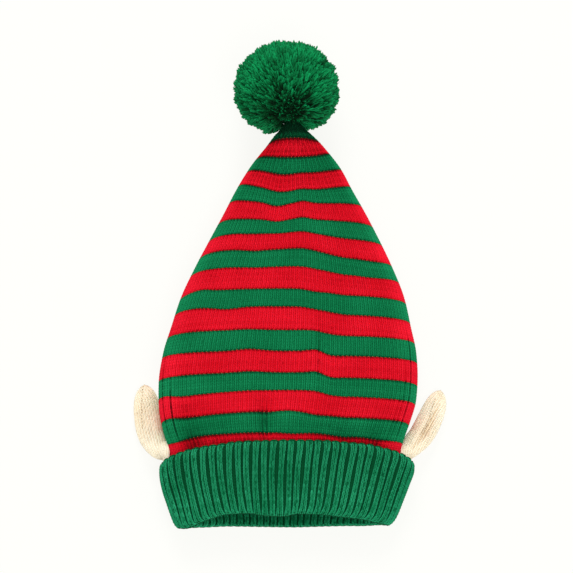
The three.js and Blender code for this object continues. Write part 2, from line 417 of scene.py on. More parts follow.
# Yarn: every stitch leg, cut end and sewing stitch is a grain, a short closed run of triangles.

FLOOR_CLEAR = 0.1  # how far every grain stays above the surface that the hat lies on
CELL_EDGE = 0.08  # bare edge round each grain when it is opened out, as a share of its cell
MERGED = 2e-6  # how near two corners lie that are merged, in metres
# The two rings of a stitch leg: how far along it they lie, and how plump it is there.
LEG = ((0.26, 0.92), (0.72, 1.08))


def grain_pattern(rings):
    """The triangles of a grain with so many three-sided rings between its two tips, and their
    places when it is opened out flat."""
    faces, flat = [], []

    def corner(ring, side):
        return 1 + 3 * ring + side % 3

    last = 1 + 3 * rings
    for side in range(3):
        faces.append((0, corner(0, side + 1), corner(0, side)))
        flat.append(((side + 0.5, 0), (side + 1, 1), (side, 1)))
        for ring in range(rings - 1):
            here, there = corner(ring, side), corner(ring + 1, side)
            beside, across = corner(ring, side + 1), corner(ring + 1, side + 1)
            faces += [(here, beside, across), (here, across, there)]
            flat += [
                ((side, ring + 1), (side + 1, ring + 1), (side + 1, ring + 2)),
                ((side, ring + 1), (side + 1, ring + 2), (side, ring + 2)),
            ]
        faces.append((last, corner(rings - 1, side), corner(rings - 1, side + 1)))
        flat.append(((side + 0.5, rings + 1), (side, rings), (side + 1, rings)))
    return np.array(faces), np.array(flat, float) / (3, rings + 1)


def joined_grains(name, first, rings, last, tone):
    """One mesh of many grains: their first tips, rings of three corners and last tips, in mm, and
    a tone for each ring."""
    count, ring_count = rings.shape[:2]
    faces, flat = grain_pattern(ring_count)
    corners = 2 + 3 * ring_count
    places = np.concatenate(
        (first[:, None], rings.reshape(count, 3 * ring_count, 3), last[:, None]), axis=1
    )
    places[..., 2] = np.maximum(places[..., 2], FLOOR_CLEAR)
    loops = (faces[None] + corners * np.arange(count)[:, None, None]).ravel()
    mesh = bpy.data.meshes.new(name)
    mesh.vertices.add(count * corners)
    mesh.vertices.foreach_set("co", (places * MM).astype(np.float32).ravel())
    mesh.loops.add(len(loops))
    mesh.loops.foreach_set("vertex_index", loops.astype(np.int32))
    mesh.polygons.add(len(loops) // 3)
    mesh.polygons.foreach_set("loop_start", np.arange(0, len(loops), 3, dtype=np.int32))
    mesh.polygons.foreach_set("use_smooth", np.ones(len(loops) // 3, bool))
    mesh.update(calc_edges=True)
    tones = mesh.attributes.new("tone", "FLOAT", "POINT")
    shades = np.concatenate((tone[:, :1], np.repeat(tone, 3, axis=1), tone[:, -1:]), axis=1)
    tones.data.foreach_set("value", shades.astype(np.float32).ravel())
    cells = math.ceil(math.sqrt(count))
    cell = np.stack(np.divmod(np.arange(count), cells), axis=-1)[:, None, None]
    bake = mesh.uv_layers.new(name="OFBake")
    spots = (cell + CELL_EDGE + (1 - 2 * CELL_EDGE) * flat) / cells
    bake.data.foreach_set("uv", spots.astype(np.float32).ravel())
    return mesh


def leg_rings(foot, head, out, width, height):
    """Flat-bottomed rings of plump stitch legs that lie on a wall from foot to head."""
    side = unit(np.cross(head - foot, out)) * width[:, None] / 2
    top = out * height[:, None]
    rings = []
    for share, plump in LEG:
        middle = foot + (head - foot) * share
        rings.append(np.stack(
            (middle - side * plump, middle + top * plump, middle + side * plump), axis=1
        ))
    return np.stack(rings, axis=1)


class Stitches:
    """Rows of V-shaped knit stitches, gathered row by row and then made into one mesh."""

    FOOT_APART = 0.14  # from the stitch's middle, as a share of the wale
    HEAD_APART = 0.28
    LEG_APART = 0.2
    START = -0.5  # where a leg starts and how far it runs up, in courses
    REACH = 1.75
    WIDE = 0.54  # a leg's width, as a share of the wale
    UNEVEN = 0.25  # how much the legs' tones differ
    SHADED_LEG = 0.9  # how much darker one leg of each stitch is painted than the other, as painted shade of the leg turned from the light

    def __init__(self):
        self.rows = {key: [] for key in ("foot", "head", "out", "width", "height", "tone")}

    def knit(self, place, out, rounds, course, wale, pitch, height, tone, dark_foot=0, dark_head=0):
        """One course: rounds are the stitches' middles, wale their spacing as a share round, pitch
        that spacing in mm, and tone gives a leg's tone from its own place round."""
        for way in (-1, 1):
            start = course + self.START
            foot = place(rounds + way * self.FOOT_APART * wale, start)
            head = place(rounds + way * self.HEAD_APART * wale, start + self.REACH)
            legs = rounds + way * self.LEG_APART * wale
            tones = tone(legs) + rng.normal(0, self.UNEVEN, len(rounds))
            # painted shade on one leg of each stitch
            tones = tones - self.SHADED_LEG * (way < 0)
            found = {
                "foot": foot, "head": head,
                "out": out(legs, start + 0.5 * self.REACH),
                "width": np.full(len(rounds), self.WIDE * pitch),
                "height": np.full(len(rounds), height),
                "tone": np.stack((tones - dark_foot, tones - dark_head), axis=-1),
            }
            for key, values in found.items():
                self.rows[key].append(values)

    def mesh(self, name):
        rows = {key: np.concatenate(values) for key, values in self.rows.items()}
        rings = leg_rings(rows["foot"], rows["head"], rows["out"], rows["width"], rows["height"])
        return joined_grains(name, rows["foot"], rings, rows["head"], rows["tone"])


def rolled_grid(name, columns, rows, place, values):
    """A grid rolled into a tube, with place(round, along share) for its corners in mm and named
    values kept at its points. Rings and ends that meet are merged."""
    shape = bmesh.new()
    bmesh.ops.create_grid(shape, x_segments=columns, y_segments=rows, size=0.5)
    corners = np.array([corner.co for corner in shape.verts])
    rounds, alongs = corners[:, 0] + 0.5, corners[:, 1] + 0.5
    places = place(rounds, alongs) * MM
    layers = {key: shape.verts.layers.float.new(key) for key in values}
    found = {key: work(rounds, alongs) for key, work in values.items()}
    for k, corner in enumerate(shape.verts):
        corner.co = places[k]
        for key, layer in layers.items():
            corner[layer] = found[key][k]
    bmesh.ops.remove_doubles(shape, verts=shape.verts, dist=MERGED)
    bmesh.ops.recalc_face_normals(shape, faces=shape.faces)
    mesh = bpy.data.meshes.new(name)
    for face in shape.faces:
        face.smooth = True
    shape.to_mesh(mesh)
    shape.free()
    return mesh


def add_piece(name, mesh, material, nodes=()):
    piece = bpy.data.objects.new(name, mesh)
    bpy.context.scene.collection.objects.link(piece)
    mesh.materials.append(material)
    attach(piece, "root")
    if nodes:
        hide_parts(*nodes)
    return piece


# Finishes

class Value:
    """The output of a node, which can be used in sums."""

    def __init__(self, finish, socket):
        self.finish, self.socket = finish, socket

    def sum(self, operation, first, second):
        settings = {"operation": operation}
        return self.finish.node("ShaderNodeMath", settings, {0: first, 1: second})

    def __add__(self, other):
        return self.sum("ADD", self, other)

    def __radd__(self, other):
        return self.sum("ADD", other, self)

    def __sub__(self, other):
        return self.sum("SUBTRACT", self, other)

    def __rsub__(self, other):
        return self.sum("SUBTRACT", other, self)

    def __mul__(self, other):
        return self.sum("MULTIPLY", self, other)

    def __rmul__(self, other):
        return self.sum("MULTIPLY", other, self)

    def __mod__(self, other):
        return self.sum("FLOORED_MODULO", self, other)

    def __lt__(self, other):
        return self.sum("LESS_THAN", self, other)


class Finish:
    """A material, with its nodes added one by one."""

    def __init__(self, name):
        self.material = bpy.data.materials.new(name)
        self.material.use_nodes = True
        self.tree = self.material.node_tree
        self.shader = self.tree.nodes["Principled BSDF"]

    def node(self, kind, settings=None, sockets=None, output=0):
        node = self.tree.nodes.new(kind)
        for key, value in (settings or {}).items():
            setattr(node, key, value)
        self.fill(node, sockets or {})
        return Value(self, node.outputs[output])

    def fill(self, node, sockets):
        for key, value in sockets.items():
            if isinstance(value, Value):
                self.tree.links.new(value.socket, node.inputs[key])
            else:
                node.inputs[key].default_value = value

    def shade(self, **sockets):
        self.fill(self.shader, {key.replace("_", " "): value for key, value in sockets.items()})

    def attribute(self, name):
        return self.node("ShaderNodeAttribute", {"attribute_name": name}, output=2)

    def noise(self, scale, detail):
        where = self.node("ShaderNodeTexCoord", output=3)
        sockets = {"Vector": where, "Scale": scale, "Detail": detail}
        return self.node("ShaderNodeTexNoise", {}, sockets)

    def mix(self, amount, first, second):
        settings = {"data_type": "RGBA", "clamp_factor": True}
        return self.node("ShaderNodeMix", settings, {0: amount, 6: first, 7: second}, output=2)

    def bump(self, height, strength, distance):
        sockets = {"Strength": strength, "Distance": distance, "Height": height}
        return self.node("ShaderNodeBump", {}, sockets)


def in_green(course):
    """Whether a course is of green yarn, for numbers and for the output of a node alike."""
    return (course - HIDDEN_COURSES) % (GREEN_COURSES + RED_COURSES) < GREEN_COURSES


def shaded(colour, share):
    return [share * value for value in colour[:3]] + [1]


def paint(red, green, blue):
    """A colour given as 0 to 255 values on a screen, as the shader's own light values."""
    shares = [value / 255 for value in (red, green, blue)]
    return [s / 12.92 if s <= 0.04045 else ((s + 0.055) / 1.055) ** 2.4 for s in shares] + [1]


FIBRE = 1400.0  # fibres to the metre in the fine fuzz
SHADE_PATCH = 30.0  # slow drift of a yarn's dye
DEEP_FROM = 1.5  # how far below the common tone a yarn begins to lie in shade
DEEP_GAIN = 0.35
DEEP = 0.14  # how light a deeply shaded yarn is, beside its dark tone
TONE_GAIN = 0.22  # how much a stitch's tone, the fuzz and the drift lighten or darken a yarn
FUZZ_GAIN = 0.7
DRIFT_GAIN = 0.9
MATT = 0.08  # how much a knit shines
GATHER_SHADE = 0.8  # how dark the backing is painted in the gathers under the pompom, as painted shade of the pompom


def yarn_finish(name, dark, light, sheen, deep=None):
    """Soft matt yarn. Its colour drifts slowly along the knit and from stitch to stitch."""
    finish = Finish(name)
    fuzz = finish.noise(FIBRE, 3.0)
    drift = finish.noise(SHADE_PATCH, 1.0)
    tone = finish.attribute("tone")
    amount = tone * TONE_GAIN + (fuzz - 0.5) * FUZZ_GAIN + (drift - 0.5) * DRIFT_GAIN + 0.5
    common = finish.mix(amount, dark, light)
    depth = (0 - tone - DEEP_FROM) * DEEP_GAIN
    finish.shade(
        Base_Color=finish.mix(depth, common, deep or shaded(dark, DEEP)),
        Roughness=0.78 + fuzz * 0.2,
        Normal=finish.bump(fuzz, 0.5, 0.25 * MM),
        Sheen_Weight=sheen,
        Sheen_Roughness=0.5,
        Sheen_Tint=light,
        Specular_IOR_Level=MATT,
    )
    return finish.material


def backing_finish(name, green, depth, red=None):
    """The loops at the back of the knit, seen between the stitches and inside the hat. depth is how
    light their hollows are painted, as painted shade."""
    finish = Finish(name)
    fuzz = finish.noise(FIBRE, 3.0)
    course, wale = finish.attribute("course"), finish.attribute("wale")
    loops = finish.node("ShaderNodeMath", {"operation": "SINE"}, {0: course * (2 * math.pi)})
    waves = finish.node("ShaderNodeMath", {"operation": "SINE"}, {0: wale * (2 * math.pi)})
    amount = 0.3 + fuzz * 0.6
    colour = finish.mix(amount, shaded(green, depth), green)
    if red:
        reds = finish.mix(amount, shaded(red, depth), red)
        colour = finish.mix(in_green(course), reds, colour)
        # painted shade of the pompom on the backing of the gathers
        colour = finish.mix(finish.attribute("shade") * GATHER_SHADE, colour, (0, 0, 0, 1))
    finish.shade(
        Base_Color=colour,
        Roughness=0.85 + fuzz * 0.12,
        Normal=finish.bump(loops * 0.5 + waves * loops * 0.3 + fuzz * 0.3, 0.8, 0.6 * MM),
        Specular_IOR_Level=MATT,
    )
    return finish.material


red_yarn = yarn_finish("red_yarn", paint(202, 4, 25), paint(240, 27, 51), 0.32)
green_yarn = yarn_finish("green_yarn", paint(2, 106, 61), paint(20, 140, 88), 0.32)
rib_yarn = yarn_finish("rib_yarn", paint(4, 115, 69), paint(44, 168, 118), 0.12)
# the ears' deepest painted shade is tan
ear_yarn = yarn_finish(
    "ear_yarn", paint(253, 236, 204), paint(255, 253, 238), 0.05, paint(186, 146, 104)
)
seam_yarn = yarn_finish("seam_yarn", paint(206, 176, 140), paint(226, 200, 164), 0.05)
pompom_yarn = yarn_finish("pompom_yarn", paint(0, 71, 32), paint(11, 145, 82), 0.12)
striped_backing = backing_finish("striped_backing", paint(6, 124, 72), 0.8, paint(232, 8, 30))
# the cuff's backing is painted a darker green than its yarn, as painted shade in the channels
# between the ribs
rib_backing = backing_finish("rib_backing", paint(0, 78, 42), 0.6)
ear_backing = backing_finish("ear_backing", paint(250, 232, 200), 0.9)


# The crown

CROWN_STEP = 1.0
CROWN_COLUMNS = 720
STITCH_HIGH = 1.0  # how far the stitches stand out from the backing
PROUD = 0.6  # how far they stand out from the felted surface of the knit
BACKING_THICK = 1.3
WALE = 3.5  # spacing of the stitches round the crown
CHANGE_DARK = 3.4  # how much darker the yarn is where its colour changes
SLOPE_DARK = 1.3  # how much darker it is painted up the slope to the tip, as painted shade
SLOPE_SHADE = (262, 318)  # the stations between which it darkens there
TIP_SHADE = 3.1  # how much darker it is painted in the gathers under the pompom, as painted shade of the pompom
GATHERS = (326, 342)  # the stations between which they deepen and that painted shade grows
SIDE_LIGHT = 2.0  # how much lighter it is painted where it turns round the sides, as painted light
SIDE_SHARE = (0.8, 0.97)  # where the sides begin and end, as shares of the crown's half width
UPPER_SIDE = (15, 30)  # the heights between which a place comes to lie on the upper side
OFF_FLOOR = (1, 8)  # the heights between which the stitches come to stand proud
COURSE_UNEVEN = 0.3  # how much the courses' tones differ
SUNK_WIDE = 0.26  # how near a sunk wale the legs lie that take its shade, in wales
SEATED = 0.1  # how deep the stitches sit in the backing
CROWN_BACKING = (180, 69)  # columns and rows
LAST_COURSE = 137  # at the tip
WALE_COUNTS = np.array([132, 112, 96, 80, 66, 54, 44, 34, 24, 16])

change_courses = np.concatenate((
    [0],
    HIDDEN_COURSES + np.cumsum([0] + [GREEN_COURSES, RED_COURSES] * (len(CHANGES) // 2)),
    [LAST_COURSE],
))
crown_ends = table(
    "at left right step",
    (CROWN[0]["at"], 0, 0, 0),
    (CROWN[-1]["at"], 0, 0, 0),
)
change_rows = crown_ends[:1] + CHANGES + crown_ends[1:]


def bumps(rows, key, at, x):
    """The sum of soft bumps from a table with a row for each."""
    found = np.zeros(np.shape(x))
    for row in rows:
        away = ((x - row["x"]) / row["across"]) ** 2 + ((at - row["at"]) / row["along"]) ** 2
        found = found + row[key] * np.exp(-away)
    return found


def crown_value(name, at):
    return eased(column(CROWN, "at"), column(CROWN, name), at)


def course_value(name, course):
    return eased(change_courses, column(change_rows, name), course)


def crown_table():
    ats = np.arange(CROWN[0]["at"], CROWN[-1]["at"] + CROWN_STEP, CROWN_STEP)
    names = ("half", "low", "high", "shift")
    found = {name: crown_value(name, ats) for name in names}
    shares = np.arange(CROWN_COLUMNS) / CROWN_COLUMNS
    places = []
    for k, at in enumerate(ats):
        half, low, high, shift = (found[name][k] for name in names)
        x, z = section_outline(half, low, high, shift, shares).T
        middle = low + SIDE_LEVEL * (high - low)
        z = z + smooth(z, middle, high) * bumps(FOLDS, "rise", at, x)
        places.append(np.stack((x, np.full_like(x, MOUTH_Y + at), z), axis=-1))
    return Wall(ats, np.array(places))


crown_wall = crown_table()


def course_at(course, x, z):
    """The station of a course at a place across the hat."""
    at, left, right, step = (
        course_value(name, course) for name in ("at", "left", "right", "step")
    )
    across = np.clip((x - crown_value("shift", at)) / crown_value("half", at), -1, 1)
    stepped = smooth(x, STEP_FROM, STEP_FROM + STEP_WIDE)
    climb = np.where(across < 0, left, right) * across ** 2
    climb -= SIDE_DROP * smooth(at, *SLOPE) * np.where(across < 0, across ** SIDE_POWER, 0)
    drift = bumps(DRIFTS, "climb", at, x) * smooth(z, *UPPER_SIDE)
    return at + climb + step * stepped + drift


def crown_spot(rounds, course):
    """The station of a course at a place round the hat."""
    course = np.broadcast_to(np.asarray(course, float), rounds.shape)
    places = crown_wall.place(rounds, course_value("at", course))
    return course_at(course, places[..., 0], places[..., 2])


def on_crown(rounds, course, lift):
    at = crown_spot(rounds, course)
    places = crown_wall.place(rounds, at)
    proud = PROUD * smooth(places[..., 2:], *OFF_FLOOR)
    return places + (lift + proud) * crown_wall.out(rounds, at)


def crown():
    # where the pompom's painted shade falls on the backing
    def gathered(rounds, alongs):
        return smooth(crown_spot(rounds, alongs * LAST_COURSE), *GATHERS)

    backing = rolled_grid(
        "crown_backing", *CROWN_BACKING,
        lambda rounds, alongs: on_crown(rounds, alongs * LAST_COURSE, -STITCH_HIGH),
        {
            "course": lambda rounds, alongs: alongs * LAST_COURSE,
            "wale": lambda rounds, alongs: rounds * WALE_COUNTS[0],
            "shade": gathered,
        },
    )
    piece = add_piece("crown_backing", backing, striped_backing, ["crown"])
    wall = piece.modifiers.new("thickness", "SOLIDIFY")
    wall.thickness, wall.offset = BACKING_THICK * MM, -1
    by_yarn = {True: Stitches(), False: Stitches()}
    for course in range(1, LAST_COURSE - 1):
        at = float(course_value("at", np.array(course + 0.5)))
        length = crown_wall.length_round(at)
        count = int(WALE_COUNTS[np.argmin(np.abs(np.log(length / WALE_COUNTS / WALE)))])
        rounds = (np.arange(count) + 0.5) / count
        # painted shade up the slope and in the gathers under the pompom
        base = rng.normal(0, COURSE_UNEVEN) - TIP_SHADE * float(smooth(at, *GATHERS))
        base -= SLOPE_DARK * float(smooth(at, *SLOPE_SHADE))
        half, shift = (float(crown_value(name, np.array(at))) for name in ("half", "shift"))

        def tone(places_round, at=at, base=base, count=count, half=half, shift=shift):
            places = crown_wall.place(places_round, np.full(places_round.shape, at))
            # painted shade and painted light from the table, and painted light where the crown turns
            # round its sides
            dark = bumps(SHADES, "dark", at, places[..., 0]) * smooth(places[..., 2], *UPPER_SIDE)
            dark = dark - SIDE_LIGHT * smooth(np.abs(places[..., 0] - shift) / half, *SIDE_SHARE)
            # painted shade of the sunk wales' grooves
            for row in SHADED_SUNK_WALES:
                here = np.abs(places_round - row["round"]) * count < SUNK_WIDE
                sunk = smooth(at, row["level"], row["level"] - RISING) * smooth(at, *SINKING)
                dark = dark + here * row["dark"] * sunk
            return base - dark

        yarn = bool(in_green(course))
        begins, ends = yarn != bool(in_green(course - 1)), yarn != bool(in_green(course + 1))
        by_yarn[yarn].knit(
            lambda r, c: on_crown(r, c, -STITCH_HIGH - SEATED),
            lambda r, c: crown_wall.out(r, crown_spot(r, c)),
            rounds, course, 1 / count, length / count, STITCH_HIGH, tone,
            CHANGE_DARK if begins else 0, CHANGE_DARK if ends else 0,
        )
    for yarn, name, finish in ((False, "crown_red_stitches", red_yarn),
                               (True, "crown_green_stitches", green_yarn)):
        add_piece(name, by_yarn[yarn].mesh(name), finish)


# The cuff

BRIM_COLUMNS = 720
BRIM_STEP = 0.8
RIB_COURSE = 2.4
RIB_HIGH = 3.2  # from the bottom of a channel to the top of a rib's backing
RIB_BEND = 2.0  # how squarely a rib's sides drop into the channels
SCALLOP = 0.5  # how far the free edge dips between two ribs
RIB_SWAY = 0.045  # how far the ribs wander sideways, in ribs
INSIDE_SHADE = 1.3  # how much darker the yarn is painted inside the mouth, as painted shade
LIP_LIGHT = 3.5  # how much lighter it is painted along the fold, as painted light on the rolled edge
LIP_REACH = 3.2
GROOVE_SHADE = 0.8  # how much darker the legs are painted that meet in the middle of a rib, as painted shade of the groove between them
GROOVE = 0.15  # how far from the middle they lie, in ribs
INSIDE_REACH = 6.0  # how far past the fold the inside's painted shade is full
RIB_COURSE_UNEVEN = 0.35
FLAT_STITCH = 0.35  # how high stitches stand where the ribs are flat, beside those on a full rib
SCALLOP_REACH = 5.0
FRONT = (8, 24)  # the heights between which the back of the mouth turns into its front
RIB_BACKING_COLUMNS = 8
BRIM_BACKING_ROWS = 76
# The waves in the ribs' uneven run: how many go round, how they slant along the cuff, and their size
# and start.
RIB_WAVES = table(
    "turns slant size start",
    (23, 0.05, 1.0, 0),
    (41, -0.11, 0.8, 1),
)
EDGE_REACH = 45.0  # how far up and down the cuff the droop of its edge and of its fold reaches
FOLD_REACH = 24.0
RIB_WALES = (-1, 1)  # the two wales of a rib, either side of its middle
RIB_WALE = 0.34  # a wale's width on a full rib, as a share of the ribs' spacing
FLAT_WALE = 0.5  # and where the ribs flatten out, at the free edge and the fold


class RibStitches(Stitches):
    """The stitches of a rib, which stand uneven."""

    FOOT_APART = 0.09
    HEAD_APART = 0.33
    WIDE = 0.5
    UNEVEN = 0.6
    SHADED_LEG = 0.0


def brim_profile():
    """Distances of the profile's rings along it, the last being its full length."""
    points = np.stack((column(BRIM, "at"), column(BRIM, "half")), axis=-1)
    gaps = np.linalg.norm(np.roll(points, -1, 0) - points, axis=1)
    return np.concatenate(([0], np.cumsum(gaps)))


brim_knots = brim_profile()


def brim_value(name, along):
    values = column(BRIM, name)
    reach = 3
    around = np.concatenate((brim_knots[-1 - reach:-1] - brim_knots[-1], brim_knots,
                             brim_knots[1:reach + 1] + brim_knots[-1]))
    repeated = np.concatenate((values[-reach:], values, values[:reach + 1]))
    return eased(around, repeated, along)


def brim_table():
    rows = round(brim_knots[-1] / BRIM_STEP)
    alongs = np.arange(rows) * brim_knots[-1] / rows
    names = ("at", "half", "low", "high", "shift", "lean")
    found = {name: brim_value(name, alongs) for name in names}
    shares = np.arange(BRIM_COLUMNS) / BRIM_COLUMNS
    places = []
    for k in range(rows):
        at, half, low, high, shift, lean = (found[name][k] for name in names)
        x, z = section_outline(half, low, high, shift, shares).T
        places.append(np.stack((x, MOUTH_Y + at + lean * (z - LEAN_LEVEL), z), axis=-1))
    wall = Wall(alongs, np.array(places), closed=True)
    wall.outs = -wall.outs
    return wall


brim_wall = brim_table()


def from_channel(rounds):
    """How far a place lies from the nearest channel, in ribs."""
    return np.abs((rounds * RIBS + 0.5) % 1.0 - 0.5)


def swayed(rounds, along):
    """Places round the cuff, with the ribs' uneven run."""
    turn = 2 * np.pi * rounds
    sway = sum(
        row["size"] * np.sin(row["turns"] * turn + row["slant"] * along + row["start"])
        for row in RIB_WAVES
    )
    return rounds + RIB_SWAY * sway / RIBS


def on_brim(rounds, along, lift):
    along = np.broadcast_to(np.asarray(along, float), rounds.shape)
    total = brim_knots[-1]
    from_edge = np.minimum(along % total, total - along % total)
    dip = SCALLOP * (1 - 2 * from_channel(rounds)) ** 2 * np.exp(-((from_edge / SCALLOP_REACH) ** 2))
    wrapped = (along + dip) % total
    sunk = RIB_HIGH * np.abs(1 - 2 * from_channel(rounds)) ** RIB_BEND + STITCH_HIGH
    rounds = swayed(rounds, along)
    places = brim_wall.place(rounds, wrapped)
    proud = PROUD * smooth(places[..., 2], *OFF_FLOOR)
    rise = lift + brim_value("rib", wrapped) * (proud - sunk)
    places = places + rise[..., None] * brim_wall.out(rounds, wrapped)
    x, front = places[..., 0], smooth(places[..., 2], *FRONT)
    edge, front_fold, back_fold = (
        eased(column(rows, "x"), column(rows, "droop"), x)
        for rows in (EDGE_DROOP, FRONT_DROOP, BACK_DROOP)
    )
    near_edge = smooth(from_edge, EDGE_REACH, 0)
    near_fold = smooth(np.abs(along % total - brim_knots[FOLD]), FOLD_REACH, 0)
    places[..., 1] -= near_edge * edge + near_fold * (front * front_fold + (1 - front) * back_fold)
    return places


def brim():
    total, inner_edge, fold = (brim_knots[ring] for ring in (-1, INNER_EDGE, FOLD))
    backing = rolled_grid(
        "brim_backing", RIBS * RIB_BACKING_COLUMNS, BRIM_BACKING_ROWS,
        lambda rounds, alongs: on_brim(rounds, alongs * total, 0.0),
        {
            "course": lambda rounds, alongs: alongs * total / RIB_COURSE,
            "wale": lambda rounds, alongs: rounds * RIBS * 2,
        },
    )
    add_piece("brim_backing", backing, rib_backing, ["brim"])
    stitches = RibStitches()
    pitch = brim_wall.length_round(brim_knots[2]) / RIBS
    for row in range(-1, int(inner_edge / RIB_COURSE)):
        for side in RIB_WALES:
            high = float(brim_value("rib", np.array(max(row, 0) * RIB_COURSE)))
            wale = FLAT_WALE + (RIB_WALE - FLAT_WALE) * high
            rounds = (np.arange(RIBS) + 0.5 + side * wale / 2) / RIBS
            inside = float(smooth(row * RIB_COURSE, fold, fold + INSIDE_REACH))
            # painted shade inside the mouth
            base = rng.normal(0, RIB_COURSE_UNEVEN) - INSIDE_SHADE * inside
            from_lip = abs((row + 0.5) * RIB_COURSE - fold)
            # painted light along the fold's lip
            base += LIP_LIGHT * float(smooth(from_lip, LIP_REACH, 0))
            stitches.knit(
                lambda r, c: on_brim(r, c * RIB_COURSE, -SEATED),
                lambda r, c: brim_wall.out(r, np.full(r.shape, c * RIB_COURSE) % total),
                rounds, row, wale / RIBS, wale * pitch,
                STITCH_HIGH * (FLAT_STITCH + (1 - FLAT_STITCH) * high) + SEATED,
                # painted shade in the groove of each rib
                lambda r: base - GROOVE_SHADE * (np.abs(r * RIBS % 1 - 0.5) < GROOVE),
            )
    add_piece("brim_stitches", stitches.mesh("brim_stitches"), rib_yarn)


# The ears

EAR_COLUMNS = 60
EAR_OUTLINE_STEPS = 240
EAR_BACKING = (60, 54)  # columns and rows
EAR_BACKING_WALES = 24
EAR_CLOSING = 0.95  # where the backing begins to close at the tip, as a share of the ear
EAR_STEP = 1.4
EAR_WALE = 2.5
EAR_COURSE = 1.5
EAR_STITCH_HIGH = 0.45
EAR_HOLLOW_SHADE = 2.0  # how much darker the yarn is painted in an ear's hollow, as painted shade
EAR_COURSE_UNEVEN = 0.15
EAR_TONE_AT = 0.6  # where in a course its tone is taken
SEAM_STITCH = 1.3  # length of a sewing stitch along an ear's seam
SEAM_WIDE = 0.8
SEAM_HIGH = 0.35
SEAM_LIFT = 0.15  # how far its ends lie off the ear
SEAM_TONE = -1.0
HELD = 9.0  # how much of an ear's tucked-in end is held while it is stuffed
STUFFING_PRESSURE = 10.0
STUFFING_FRAMES = 20
STITCH_MASS = 0.0004  # of each point of the cloth, in kg
STUFFING_CAP = 1.2  # the furthest that stuffing may move a point


class FineStitches(Stitches):
    """Small close stitches, whose legs run nearly straight along the wale."""

    FOOT_APART = 0.20
    HEAD_APART = 0.27
    REACH = 2.4
    WIDE = 0.52
    SHADED_LEG = 1.6


def turned_about(vectors, axis, angle):
    """Vectors turned about an axis by an angle for each."""
    cos, sin = np.cos(angle)[:, None], np.sin(angle)[:, None]
    dot = np.sum(vectors * axis, axis=1, keepdims=True)
    return vectors * cos + np.cross(axis, vectors) * sin + axis * dot * (1 - cos)


def ear_table(ear):
    line = np.stack([column(ear["line"], key) for key in ("x", "at", "z")], axis=-1)
    line[:, 1] += MOUTH_Y
    gaps = np.linalg.norm(np.diff(line, axis=0), axis=1)
    knots = np.concatenate(([0], np.cumsum(gaps)))
    knots *= EAR_LENGTH / knots[-1]
    alongs = np.arange(0, EAR[-1]["along"] + EAR_STEP / 2, EAR_STEP)
    on_line = np.minimum(alongs, EAR_LENGTH)

    def on_middle(places):
        return np.stack([eased(knots, axis, places) for axis in line.T], axis=-1)

    middle = on_middle(on_line)
    ahead = on_middle(np.minimum(on_line + 1, EAR_LENGTH))
    behind = on_middle(np.maximum(on_line - 1, 0))
    forward = unit(ahead - behind)
    middle += forward * (alongs - on_line)[:, None]
    across = unit(np.stack((forward[:, 1], -forward[:, 0], 0 * alongs), axis=-1))
    twist = np.radians(ear["turned"]) * (1 - smooth(alongs, 0, ear["untwisted"]))
    across = turned_about(across, forward, ear["outer"] * twist)
    up = unit(np.cross(across, forward))
    half, thick, hollow = (
        eased(column(EAR, "along"), column(EAR, key), alongs) for key in ("half", "thick", "hollow")
    )
    angle = np.arange(EAR_OUTLINE_STEPS) / EAR_OUTLINE_STEPS * 2 * np.pi
    side, rise = np.cos(angle), np.sin(angle)
    away = (side * ear["outer"] - ear["hollow_at"]) / ear["hollow_wide"]
    shares = np.arange(EAR_COLUMNS) / EAR_COLUMNS
    places, hollows = [], []
    for k in range(len(alongs)):
        sunk = np.where(rise > 0, ear["hollow_deep"] * hollow[k] * np.exp(-away * away), 0)
        ring = (
            middle[k] + ear["slim"] * half[k] * side[:, None] * across[k]
            + (thick[k] * rise * (1 - sunk))[:, None] * up[k]
        )
        spaced = spaced_evenly(np.column_stack((ring, sunk)), shares)
        places.append(spaced[:, :3])
        hollows.append(spaced[:, 3:])
    wall = Wall(alongs, np.array(places))
    wall.hollows = np.array(hollows)
    return wall


